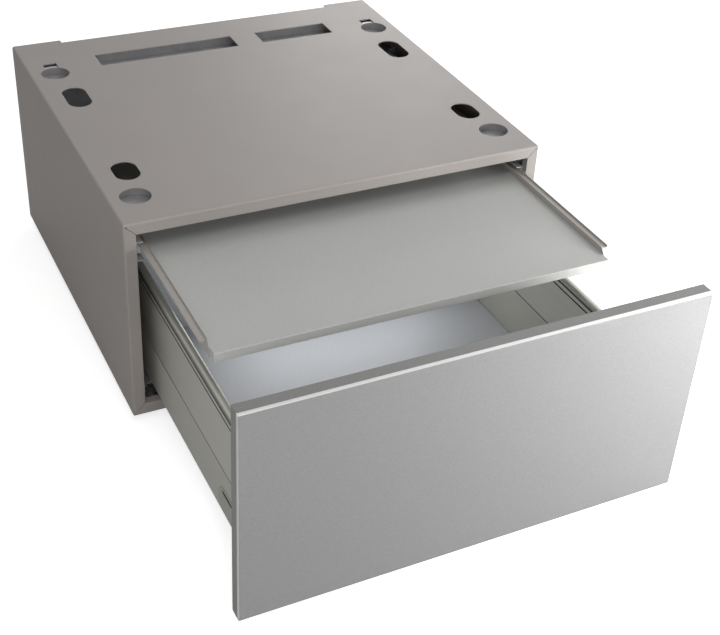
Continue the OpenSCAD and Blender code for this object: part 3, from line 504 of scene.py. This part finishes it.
# %% A turned part
def mesh_object(name, shape, finish):
    bmesh.ops.recalc_face_normals(shape, faces=shape.faces)
    mesh = bpy.data.meshes.new(name)
    shape.to_mesh(mesh)
    shape.free()
    mesh.materials.append(finish)
    return placed_in_scene(name, mesh)


def ring(radius, height, angles):
    return [(radius * math.cos(a), radius * math.sin(a), height) for a in angles]


def whole_turn(steps, start=0.0):
    return [2 * math.pi * (k + start) / steps for k in range(steps)]


def turned(shape, profile, steps=48, closed=False):
    """Spins (radius, height) points round Z into the bmesh. Zero radius closes an end."""
    angles = whole_turn(steps)
    rings = []
    for radius, height in profile:
        places = ring(radius, height, angles) if radius > 1e-7 else [(0, 0, height)]
        rings.append([shape.verts.new(p) for p in places])
    pairs = list(zip(rings, rings[1:])) + ([(rings[-1], rings[0])] if closed else [])
    for low, high in pairs:
        for k in range(steps):
            j = (k + 1) % steps
            corners = [low[k % len(low)], low[j % len(low)]]
            corners += [high[j % len(high)], high[k % len(high)]]
            corners = list(dict.fromkeys(corners))
            if len(corners) > 2:
                shape.faces.new(corners).smooth = True


print("turning helper ready")

# %% [markdown]
# Two more helpers serve round and faceted parts alike. One lays four-sided faces between two
# rings of points. The other marks the steep steps of a part as sharp, so that its round faces
# shade smooth while its rims stay crisp.

# %% Rings joined and steps kept sharp
def bridge(shape, low, high):
    """Four-sided faces between two rings of as many points."""
    for k in range(len(low)):
        j = (k + 1) % len(low)
        shape.faces.new((low[k], low[j], high[j], high[k]))


def crease_sharp(made, degrees=32):
    """Keeps the sharp steps of a part sharp while its round faces shade smooth."""
    mesh = made.data
    shape = bmesh.new()
    shape.from_mesh(mesh)
    for edge in shape.edges:
        if len(edge.link_faces) == 2 and edge.calc_face_angle() > math.radians(degrees):
            edge.smooth = False
    for face in shape.faces:
        face.smooth = True
    shape.to_mesh(mesh)
    shape.free()
    return made


print("ring helpers ready")

# %% [markdown]
# The screws are pan heads with a cross recess. The head is a turned dome, and the recess is four
# tapered slots that meet at the middle. Here the dome's own faces are pushed in where the cross
# lies, which gives the recess with one small, closed mesh: rings of points follow the outline of
# the cross. A shank with a turned thread hangs below the head, though it is mostly hidden.

# %% One pan head screw
def pan_screw(name, finish, head_r=0.0039, head_h=0.0020, shank_r=0.0019, shank_l=0.0058):
    shape = bmesh.new()
    steps, turns = 64, 7
    arm, half = head_r * 0.60, head_r * 0.15
    dome = [(1.00, 0.0), (1.00, 0.30), (0.97, 0.55), (0.88, 0.78), (0.76, 0.92), (0.66, 0.97)]
    recess = [(1.0, 1.0), (0.86, 0.55), (0.60, 0.22)]

    def reach(angle):
        """Distance from the middle to the outline of the cross."""
        big, small = sorted((abs(math.cos(angle)), abs(math.sin(angle))), reverse=True)
        return min(arm / big, half / small)

    angles = whole_turn(steps, 0.5)
    rings = [ring(head_r * width, head_h * height, angles) for width, height in dome]
    for width, height in recess:
        rings.append([ring(reach(a) * width, head_h * height, [a])[0] for a in angles])
    grid = [[shape.verts.new(p) for p in level] for level in rings]
    for low, high in zip(grid, grid[1:]):
        bridge(shape, low, high)
    shape.faces.new(grid[-1])
    shank = [(head_r, 0.0), (shank_r, 0.0)]
    for k in range(turns):
        z = -shank_l * 0.9 * (k + 0.25) / turns
        shank += [(shank_r * 0.80, z), (shank_r, z - shank_l * 0.45 / turns)]
    shank += [(shank_r * 0.5, -shank_l), (0, -shank_l)]
    turned(shape, shank, steps)
    bmesh.ops.remove_doubles(shape, verts=shape.verts, dist=1e-6)
    return crease_sharp(mesh_object(name, shape, finish), 40)


screw_part = pan_screw("screw_part", finishes["zinc"])
print("screw faces:", len(screw_part.data.polygons))

# %% [markdown]
# The same screw sits in twenty-two places and faces four ways, so Geometry Nodes copy it. The
# class below starts a tree with named inputs and ends it in Realize Instances and Set Material,
# since the export keeps real meshes only. A modifier's inputs are set by the identifier of the
# socket, because two inputs may share a name. The result becomes a plain mesh at once.

# %% A geometry tree with named inputs
class Grower(Graph):
    """A geometry node tree with named inputs. Each tree takes a finish as its last input."""

    def __init__(self, name, **inputs):
        super().__init__(bpy.data.node_groups.new(name, "GeometryNodeTree"))
        self.ids = {}
        face = self.tree.interface
        for way in ("INPUT", "OUTPUT"):
            face.new_socket("Geometry", in_out=way, socket_type="NodeSocketGeometry")
        for label, kind in {**inputs, "Finish": "Material"}.items():
            socket = face.new_socket(label, in_out="INPUT", socket_type="NodeSocket" + kind)
            self.ids[label] = socket.identifier
        self.entry = self.node("NodeGroupInput")
        self.exit = self.node("NodeGroupOutput")

    def given(self, label):
        return self.entry.outputs[label]

    def first(self, kind, sockets=None, **settings):
        """The first output of a new node."""
        return self.node(kind, sockets, **settings).outputs[0]

    def close(self, geometry):
        real = self.first("GeometryNodeRealizeInstances", {"Geometry": geometry})
        sockets = {"Geometry": real, "Material": self.given("Finish")}
        self.feed(self.exit.inputs[0], self.first("GeometryNodeSetMaterial", sockets))


def grown(name, grower, seed_mesh, values):
    """Runs the tree on a seed mesh and returns the result as a plain object."""
    seed = placed_in_scene(name + "_seed", seed_mesh)
    run = seed.modifiers.new("grow", "NODES")
    run.node_group = grower.tree
    for label, value in values.items():
        run[grower.ids[label]] = value
    graph = bpy.context.evaluated_depsgraph_get()
    mesh = bpy.data.meshes.new_from_object(seed.evaluated_get(graph))
    seed.modifiers.remove(run)
    bpy.data.objects.remove(seed)
    mesh.name = name
    print(name, "faces:", len(mesh.polygons))
    return placed_in_scene(name, mesh)


print("calls of a grower:", [name for name in vars(Grower) if name[0] != "_"])

# %% [markdown]
# The points carry the place and the direction that a part faces. Each copy turns its Z axis to
# that direction and then turns about it, one step further than the copy before, because nobody
# leaves all the crosses of a row of screws in line.

# %% A tree that sets hardware on points
def hardware_tree():
    """Copies a part to points. Each copy faces its point's way and turns a step further."""
    tree = Grower("hardware_on_points", Part="Object", Size="Float", Turn="Float")
    part = tree.node("GeometryNodeObjectInfo", {"Object": tree.given("Part"), "As Instance": True})
    way = tree.first("GeometryNodeInputNamedAttribute", {"Name": "facing"},
                     data_type="FLOAT_VECTOR")
    aim = tree.first("FunctionNodeAlignRotationToVector", {"Vector": way}, axis="Z")
    spin = tree.sum("MULTIPLY", tree.first("GeometryNodeInputIndex"), tree.given("Turn"))
    spun = tree.first("ShaderNodeCombineXYZ", {"Z": spin})
    local = tree.first("FunctionNodeEulerToRotation", {0: spun})
    turned_aim = tree.first("FunctionNodeRotateRotation", {0: aim, 1: local},
                            rotation_space="LOCAL")
    tree.close(tree.first("GeometryNodeInstanceOnPoints", {
        "Points": tree.given("Geometry"), "Instance": part.outputs["Geometry"],
        "Rotation": turned_aim, "Scale": tree.given("Size")}))
    return tree


on_points = hardware_tree()


def copied(name, part, places, facing, finish, size=1.0, turn=0.0):
    """The part at each place, with its Z axis along that place's direction."""
    mesh = bpy.data.meshes.new(name + "_places")
    mesh.from_pydata(places, [], [])
    stored = mesh.attributes.new("facing", "FLOAT_VECTOR", "POINT")
    for k, way in enumerate(facing):
        stored.data[k].vector = way
    values = {"Part": part, "Size": size, "Turn": turn, "Finish": finish}
    return grown(name, on_points, mesh, values)


print("tree inputs:", list(on_points.ids))

# %% [markdown]
# Where the screws go is known from the CAD nodes that they stand for. The back panel has three
# at its upper and three at its lower edge, the drawer's front is held by two on each side, its
# back by three on each side, and the shelf's tray is screwed to its runners from below.

# %% Screws of the back panel, the drawer and the shelf
def mm(*values):
    return tuple(v / 1000 for v in values)


def both_sides(x, *rest):
    """The place and its mirror image, in millimetres."""
    return [mm(-x, *rest), mm(x, *rest)]


def set_screws(name, body, replaced, places, facing, size=1.0):
    made = copied(name, screw_part, places, facing, finishes["zinc"], size, turn=0.7)
    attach(made, body)
    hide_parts(replaced)


backward, downward = (0, 1, 0), (0, 0, -1)
inward = [(1, 0, 0), (-1, 0, 0)]
screw_inset, back_seat = mm(4, 273)

lo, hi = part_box("back_panel_screws")
columns = (lo.x + screw_inset, 0.0, hi.x - screw_inset)
rows = (lo.z + screw_inset, hi.z - screw_inset)
places = [(x, back_seat, z) for x in columns for z in rows]
set_screws("back_panel_pan_screws", "cabinet", "back_panel_screws",
           places, [backward] * len(places))

front_x, front_y, front_rows = 255, -644.5, (84.5, 94.5)
rear_x, rear_y, rear_rows = 248, -148, (97.5, 135.5, 171.5)
front = [p for z in front_rows for p in both_sides(front_x, front_y, z)]
rear = [p for z in rear_rows for p in both_sides(rear_x, rear_y, z)]
set_screws("drawer_pan_screws", "drawer", "drawer_screws",
           front + rear, [backward] * len(front) + inward * 3, size=0.88)

runner_x, under_z, under_rows = 257.5, 252.8, (-437, -269, -101)
places = [p for y in under_rows for p in both_sides(runner_x, y, under_z)]
set_screws("shelf_pan_screws", "shelf", "shelf_screws", places, [downward] * len(places))

# %% [markdown]
# A levelling foot is three things: a rubber pad with grip ribs round its rim, a steel hexagon for
# the spanner, and a threaded stud. The thread comes first. It is a true helix: Geometry Nodes draw
# a spiral and run a small triangle along it.

# %% Thread
def thread_tree():
    """A helix with a small three-sided tooth along it."""
    tree = Grower("thread", Radius="Float", Length="Float", Turns="Float", Depth="Float")
    spiral = tree.first("GeometryNodeCurveSpiral", {
        "Resolution": 28, "Rotations": tree.given("Turns"), "Start Radius": tree.given("Radius"),
        "End Radius": tree.given("Radius"), "Height": tree.given("Length")})
    upright = tree.first("GeometryNodeSetCurveNormal", {"Curve": spiral}, mode="Z_UP")
    tooth = tree.first("GeometryNodeCurvePrimitiveCircle", {
        "Resolution": 3, "Radius": tree.given("Depth")})
    tree.close(tree.first("GeometryNodeCurveToMesh", {
        "Curve": upright, "Profile Curve": tooth, "Fill Caps": True}))
    return tree


threads = thread_tree()


def thread(name, radius, length, pitch, depth, finish):
    empty = bpy.data.meshes.new(name + "_seed")
    values = {"Radius": radius, "Length": length, "Turns": length / pitch,
              "Depth": depth, "Finish": finish}
    return grown(name, threads, empty, values)


print("thread inputs:", list(threads.ids))

# %% [markdown]
# The pad is turned, with a shallow hollow below it and rounded rims. Its ribs are one small
# rounded bar that is repeated round the rim by the same tree that sets the screws. Pad and ribs
# then become one mesh.

# %% Foot pads
pad_r, pad_h = mm(17, 5)
pad_body_r = pad_r - 0.0008
pad_shoulder = pad_h - 0.0006


def fillet(radius, z, r, top=True, steps=5):
    """Points of a rounded rim, from its side to its flat."""
    up = 1 if top else -1
    points = []
    for k in range(steps + 1):
        a = math.radians(90 * k / steps)
        points.append((radius - r + r * math.cos(a), z - up * (r - r * math.sin(a))))
    return points


def grip_bar(name, height, finish):
    shape = bmesh.new()
    bmesh.ops.create_cube(shape, size=1)
    bmesh.ops.scale(shape, verts=shape.verts, vec=(0.0012, 0.0016, height))
    bmesh.ops.bevel(shape, geom=list(shape.edges), offset=0.00035, segments=2, affect="EDGES")
    return mesh_object(name, shape, finish)


def joined(name, parts):
    """Several objects as one mesh, in place."""
    shape = bmesh.new()
    for item in parts:
        copy = item.data.copy()
        copy.transform(item.matrix_basis)
        shape.from_mesh(copy)
        bpy.data.meshes.remove(copy)
    mesh = bpy.data.meshes.new(name)
    shape.to_mesh(mesh)
    shape.free()
    for material in parts[0].data.materials:
        mesh.materials.append(material)
    for item in parts:
        bpy.data.objects.remove(item)
    return placed_in_scene(name, mesh)


def foot_pad(name, rubber):
    shape = bmesh.new()
    hollow = 0.0009
    outline = [(0, hollow), (pad_r * 0.45, hollow), (pad_r * 0.48, 0.0), (pad_r - 0.0020, 0.0)]
    outline += list(reversed(fillet(pad_body_r, 0.0, 0.0010, top=False)))
    outline += fillet(pad_body_r, pad_shoulder, 0.0012)
    outline += [(pad_r * 0.62, pad_shoulder), (pad_r * 0.60, pad_h), (0, pad_h)]
    turned(shape, outline, 72)
    base = crease_sharp(mesh_object(name + "_base", shape, rubber))
    bar = grip_bar("grip_bar", 0.0030, rubber)
    bar.data.transform(Matrix.Rotation(math.radians(90), 4, "Y"))
    angles = whole_turn(36)
    ribs = copied(name + "_ribs", bar, ring(pad_r - 0.00085, 0.0023, angles),
                  ring(1, 0, angles), rubber)
    bpy.data.objects.remove(bar)
    return joined(name, [base, ribs])


print("foot pad:", pad_r * 2000, "mm wide,", pad_h * 1000, "mm high")

# %% [markdown]
# The hexagon's corners are turned down at both ends, as on any nut: each point of its end rings
# lies on the hexagon or on a circle, whichever is nearer to the middle. The helix starts just
# above the hexagon and wraps a plain core with a chamfered end. Parts are moved inside their
# objects, which stay at the origin, so that their patterns stay put too.

# %% Hexagons and studs
hex_h, across, stud_r, stud_top = mm(3.5, 17, 5, 34.5)
hex_top = pad_h + hex_h
chamfer = 0.0008


def moved(made, place, turn=None):
    """Moves the mesh inside its object, which stays at the origin."""
    made.data.transform(Matrix.Translation(Vector(place)) @ (turn or Matrix()))
    return made


def hex_block(shape, across, z0, z1, bore=0.0, corner=0.955, edge=0.14):
    """A hexagon whose corners were turned down at both ends, with a bore if it has one."""
    angles = whole_turn(72)
    side = math.pi / 3
    cut, uncut = across / math.sqrt(3) * corner, across
    drop = (z1 - z0) * edge

    def level(z, limit):
        reach = [min(across / 2 / math.cos(a % side - side / 2), limit) for a in angles]
        return [shape.verts.new(ring(r, z, [a])[0]) for r, a in zip(reach, angles)]

    rings = [level(z0, cut), level(z0 + drop, uncut), level(z1 - drop, uncut), level(z1, cut)]
    if bore:
        rings += [level(z1, bore), level(z0, bore), rings[0]]
    for low, high in zip(rings, rings[1:]):
        bridge(shape, low, high)
    if not bore:
        shape.faces.new(rings[0])
        shape.faces.new(rings[-1])


def foot_stud(name, zinc):
    shape = bmesh.new()
    hex_block(shape, across, pad_h, hex_top)
    core = stud_r - 0.0006
    root = hex_top - 0.0002
    turned(shape, [(0, root), (core, root), (core, stud_top - chamfer),
                   (core - chamfer, stud_top), (0, stud_top)], 40)
    block = crease_sharp(mesh_object(name + "_block", shape, zinc))
    helix = thread(name + "_ridge", core, stud_top - hex_top - 0.0022, 0.0015, 0.00062, zinc)
    return joined(name, [block, moved(helix, (0, 0, hex_top + 0.0008))])


print("stud:", stud_r * 2000, "mm thick, its top at", stud_top * 1000, "mm")

# %% [markdown]
# Each foot rides on a body of its own, because it can be turned out by itself. The stud stands
# for the CAD foot, and the pad goes with it.

# %% The four feet
foot_x, foot_y = 272, 246
for y_name, y in (("front", -foot_y), ("rear", foot_y)):
    for x_name, x in (("left", -foot_x), ("right", foot_x)):
        corner = y_name + "_" + x_name
        pad = moved(foot_pad("foot_pad_" + corner, finishes["rubber"]), mm(x, y, 0))
        stud = moved(foot_stud("foot_stud_" + corner, finishes["zinc"]), mm(x, y, 0))
        for made, slot in ((pad, "rubber"), (stud, "zinc")):
            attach(made, "levelling_foot_" + corner)
        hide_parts("levelling_foot_" + corner)

# %% [markdown]
# A lock nut on each stud holds the foot where it was set. It is the same kind of hexagon, with a
# bore and turned corners. The nuts stay with the cabinet when a foot is turned out, so they are
# one piece of their own, which the tree copies to the four places.

# %% Lock nuts
lo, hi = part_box("foot_lock_nuts")
play = 0.0002
upward = (0, 0, 1)
shape = bmesh.new()
hex_block(shape, across - play, 0.0, hi.z - lo.z, bore=stud_r + play)
nut_part = crease_sharp(mesh_object("nut_part", shape, finishes["zinc"]))
places = [mm(x, y, lo.z * 1000) for x in (-foot_x, foot_x) for y in (-foot_y, foot_y)]
nuts = copied("foot_hex_nuts", nut_part, places, [upward] * 4, finishes["zinc"], turn=0.35)
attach(nuts, "cabinet")
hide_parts("foot_lock_nuts")

# %% [markdown]
# The shelf runs on four nylon rollers: two turn on the cabinet's rails at the front, two on the
# shelf's own pins at the rear. A moulded roller has a crowned tread with rounded shoulders, a
# dished web and a hub round the pin. It is a ring-shaped profile that is spun and closed, then
# laid on its side. Each roller rides its own body, because it turns as the shelf moves.

# %% Rollers
def roller(name, node, outer, bore=0.0031, dish=0.16):
    lo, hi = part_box(node)
    half = (hi.x - lo.x) / 2
    floor = half - (hi.x - lo.x) * dish
    shape = bmesh.new()
    hub = [(bore, half), (bore + 0.0016, half), (bore + 0.0020, floor)]
    web = [(outer * 0.72, floor), (outer * 0.78, half)]
    shoulder = [(outer - 0.0010, half), (outer - 0.0003, half - 0.0004)]
    tread = [(outer - 0.0001, half - 0.0012)]
    face = hub + web + shoulder + tread
    profile = [(r, -x) for r, x in face] + [(outer, 0.0)] + list(reversed(face))
    turned(shape, profile, 64, closed=True)
    made = crease_sharp(mesh_object(name, shape, finishes["nylon"]))
    moved(made, (lo + hi) / 2, Matrix.Rotation(math.radians(90), 4, "Y"))
    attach(made, node)
    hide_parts(node)
    print(name, "width", round(half * 2000, 1), "radius", round(outer * 1000, 1))


for side in ("left", "right"):
    roller("cabinet_nylon_roller_" + side, "cabinet_roller_" + side, 0.010)
    roller("shelf_nylon_roller_" + side, "shelf_roller_" + side, 0.012)

# %% [markdown]
# Four rubber bumpers sit on the rear of the drawer front and soften its knock on the cabinet. A
# bumper is a turned button: a low dome with a small step at its foot. The tree copies one button
# to the four corners.

# %% Bumpers
lo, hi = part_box("front_bumpers")
bumper_r, tall = 0.005, hi.y - lo.y
foot = [(0, 0), (1, 0), (1, 0.30)]
dome = [(0.92, 0.36), (0.88, 0.62), (0.72, 0.86), (0.44, 0.97), (0, 1)]
shape = bmesh.new()
turned(shape, [(r * bumper_r, h * tall) for r, h in foot + dome], 40)
button = crease_sharp(mesh_object("bumper_button", shape, finishes["rubber"]), 45)
columns, rows = [(a + bumper_r, b - bumper_r) for a, b in ((lo.x, hi.x), (lo.z, hi.z))]
places = [(x, lo.y, z) for x in columns for z in rows]
bumpers = copied("rubber_bumpers", button, places, [backward] * 4, finishes["rubber"])
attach(bumpers, "drawer")
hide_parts("front_bumpers")

# %% [markdown]
# The helper parts have done their work. They aren't part of the pedestal, so they go.

# %% Helper parts away
for spare in (screw_part, nut_part, button):
    bpy.data.objects.remove(spare)

# %% [markdown]
# The studio is plain: a pale floor, a white surround and soft area lamps. The background is white
# for the camera and for reflections by Light Path, while the light that falls on the pedestal
# from the surround stays lower. The floor adds a little of its own light for the camera only, so
# that it ends white and still keeps the shadow.

# %% Floor and surround
def plain_floor(size=12.0, height=-0.0003):
    """A pale floor, a hair below the foot pads so that no two faces share a plane."""
    shape = bmesh.new()
    bmesh.ops.create_grid(shape, x_segments=8, y_segments=8, size=size / 2)
    recipe = Recipe("floor_white")
    seen = recipe.node("ShaderNodeLightPath").outputs["Is Camera Ray"]
    recipe.give("Base Color", (0.80, 0.80, 0.80, 1))
    recipe.give("Roughness", 0.9)
    recipe.give("Emission Color", (1, 1, 1, 1))
    recipe.give("Emission Strength", recipe.sum("MULTIPLY", seen, 0.70))
    moved(mesh_object("studio_floor", shape, recipe.material), (0, 0, height))


def surround(strength):
    """White as the camera, glass and reflections see it, and that strong as a light."""
    world = bpy.data.worlds.new("surround")
    bpy.context.scene.world = world
    world.use_nodes = True
    graph = Graph(world.node_tree)
    path = graph.node("ShaderNodeLightPath").outputs
    seen = graph.sum("MAXIMUM", path["Is Camera Ray"], path["Is Transmission Ray"])
    seen = graph.sum("MAXIMUM", seen, path["Is Glossy Ray"])
    background = world.node_tree.nodes["Background"]
    graph.feed(background.inputs["Color"], (1, 1, 1, 1))
    graph.feed(background.inputs["Strength"], graph.range(seen, 0.0, 1.0, strength, 1.0))


plain_floor()
surround(0.26)
print("floor and surround ready")

# %% [markdown]
# The lamp to the right of the front makes the silver brighten towards that side, as in the
# photograph. Others light the deck, the back, the top, the front and, weakly, the left side. Two
# low strips stand inside the drawer, under the shelf, and keep its floor and rear wall as light
# as the photograph shows them.

# %% Lamps
def soft_lamp(name, place, target, size, power):
    """A rectangular area lamp that faces the target and stays out of the picture itself."""
    lamp = bpy.data.lights.new(name, "AREA")
    lamp.shape = "RECTANGLE"
    lamp.size, lamp.size_y = size
    lamp.energy = power
    made = placed_in_scene(name, lamp)
    made.location = place
    made.rotation_euler = (Vector(target) - Vector(place)).to_track_quat("-Z", "Y").to_euler()
    made.visible_camera = False


soft_lamp("right_lamp", (0.74, -1.15, 0.35), (0.25, -0.6, 0.15), (0.34, 0.34), 9.8)
soft_lamp("deck_lamp", (1.1, 0.1, 1.4), (0.1, 0, 0.3), (0.8, 0.8), 7)
soft_lamp("back_lamp", (1.4, 2.2, 0.85), (0.1, 0.1, 0.2), (0.9, 0.9), 13)
soft_lamp("top_lamp", (-0.2, -1.3, 2.2), (0, -0.3, 0.1), (1.1, 1.1), 10)
soft_lamp("front_lamp", (-0.8, -2.0, 0.9), (0, -0.4, 0.15), (0.5, 0.5), 6.5)
soft_lamp("left_lamp", (-0.62, -0.72, 0.3), (-0.25, -0.36, 0.15), (0.3, 0.3), 0.22)
soft_lamp("drawer_lamp", (0.01, -0.22, 0.165), (0, -0.52, 0.06), (0.34, 0.08), 0.34)
soft_lamp("rear_wall_lamp", (0, -0.265, 0.18), (0, -0.15, 0.12), (0.3, 0.03), 0.04)
bpy.context.scene.view_settings.view_transform = "Standard"
lamps = [item for item in bpy.context.scene.objects if item.type == "LIGHT"]
print("lamps:", len(lamps), "with", round(sum(item.data.energy for item in lamps), 1), "W")

# %% [markdown]
